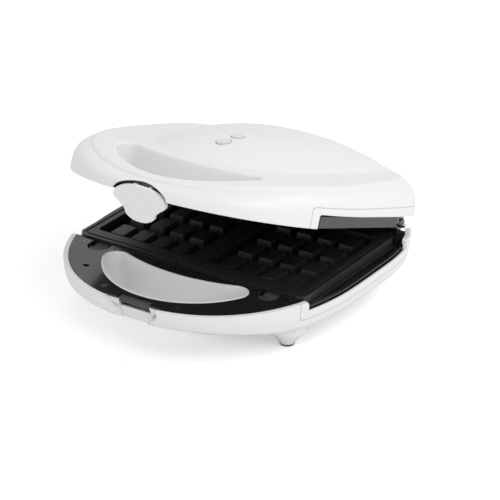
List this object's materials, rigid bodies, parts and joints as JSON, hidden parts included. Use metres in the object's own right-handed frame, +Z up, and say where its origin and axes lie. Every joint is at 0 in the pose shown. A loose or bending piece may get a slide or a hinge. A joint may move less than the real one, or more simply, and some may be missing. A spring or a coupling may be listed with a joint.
{
  "type": "waffle maker",
  "caption": "Electric waffle maker: rounded white shells on a rear hinge, bow handle with a crescent hand opening and latch, black twin-cavity plates held by release clips, domed lid.",
  "frame": {"origin": "bottom centre of the whole part's bounding box at rest, with the lid partly open", "axes": "+X to the right seen from the handle end, +Y from the handle back to the hinge, +Z up from the surface that the feet stand on"},
  "size_m": [0.2486, 0.2684, 0.1433],
  "materials": {
    "white_plastic": "smooth moulded plastic with a soft gloss",
    "black_plastic": "smooth black heat-resistant plastic, glossy",
    "grey_plastic": "fine-textured dark grey plastic",
    "nonstick_coating": "cast aluminium with a black non-stick coating, satin",
    "element_steel": "dull steel sheath, heat tinted",
    "bright_aluminium": "bright pressed sheet",
    "zinc_steel": "zinc-plated steel",
    "dark_screws": "blackened steel",
    "ceramic": "pale heat-resistant insulating body",
    "wire_sleeve": "red-brown glass-fibre sleeving",
    "rubber": "soft black rubber",
    "clear_lens": "milky clear lens"
  },
  "bodies": {
    "base": {"base_shell": "white_plastic", "base_bezel": "black_plastic", "base_plate": "nonstick_coating", "base_heater": "element_steel", "base_reflector": "bright_aluminium", "latch_catch": "grey_plastic", "thermostat": "ceramic", "thermal_fuse": "ceramic", "terminal_block": "ceramic", "terminal_cover": "white_plastic", "cord_gland": "rubber", "supply_wires": "wire_sleeve", "bezel_screws": "dark_screws", "reflector_screws": "zinc_steel", "cover_screws": "zinc_steel", "foot_pads": "rubber", "base_clip_pins": "zinc_steel", "hinge_brackets": "zinc_steel", "hinge_pins": "zinc_steel", "hinge_cover": "black_plastic"},
    "lid": {"lid_shell": "white_plastic", "lid_bezel": "black_plastic", "lid_plate": "nonstick_coating", "lid_heater": "element_steel", "lid_reflector": "bright_aluminium", "hinge_arms": "zinc_steel", "lid_bezel_screws": "dark_screws", "lid_reflector_screws": "zinc_steel", "power_lens": "clear_lens", "ready_lens": "clear_lens", "lamp_holder": "ceramic", "indicator_lamps": "clear_lens", "lid_clip_pins": "zinc_steel", "latch_pin": "zinc_steel"},
    "latch_lever": {"latch": "white_plastic"},
    "lower_left_clip": {"base_clip_left": "grey_plastic", "base_clip_spring_left": "zinc_steel"},
    "lower_right_clip": {"base_clip_right": "grey_plastic", "base_clip_spring_right": "zinc_steel"},
    "upper_left_clip": {"lid_clip_left": "grey_plastic", "lid_clip_spring_left": "zinc_steel"},
    "upper_right_clip": {"lid_clip_right": "grey_plastic", "lid_clip_spring_right": "zinc_steel"}
  },
  "joints": [
    {"name": "lid_hinge", "type": "hinge", "parent": "base", "child": "lid", "pos_m": [0, 0.1084, 0.0486], "axis": [-1, 0, 0], "range_deg": [-20.7, 74.3]},
    {"name": "latch_pivot", "type": "hinge", "parent": "lid", "child": "latch_lever", "pos_m": [0, -0.11152, 0.13657], "axis": [-1, 0, 0], "range_deg": [0, 20]},
    {"name": "lower_left_clip_pivot", "type": "hinge", "parent": "base", "child": "lower_left_clip", "pos_m": [-0.0824, -0.062, 0.04], "axis": [1, 0, 0], "range_deg": [0, 15], "stiffness_Nm_per_rad": 0.02, "springref_deg": -17.19},
    {"name": "lower_right_clip_pivot", "type": "hinge", "parent": "base", "child": "lower_right_clip", "pos_m": [0.0824, -0.062, 0.04], "axis": [1, 0, 0], "range_deg": [0, 15], "stiffness_Nm_per_rad": 0.02, "springref_deg": -17.19},
    {"name": "upper_left_clip_pivot", "type": "hinge", "parent": "lid", "child": "upper_left_clip", "pos_m": [-0.0824, -0.04881, 0.11463], "axis": [-1, 0, 0], "range_deg": [0, 15], "stiffness_Nm_per_rad": 0.02, "springref_deg": -17.19},
    {"name": "upper_right_clip_pivot", "type": "hinge", "parent": "lid", "child": "upper_right_clip", "pos_m": [0.0824, -0.04881, 0.11463], "axis": [-1, 0, 0], "range_deg": [0, 15], "stiffness_Nm_per_rad": 0.02, "springref_deg": -17.19}
  ]
}
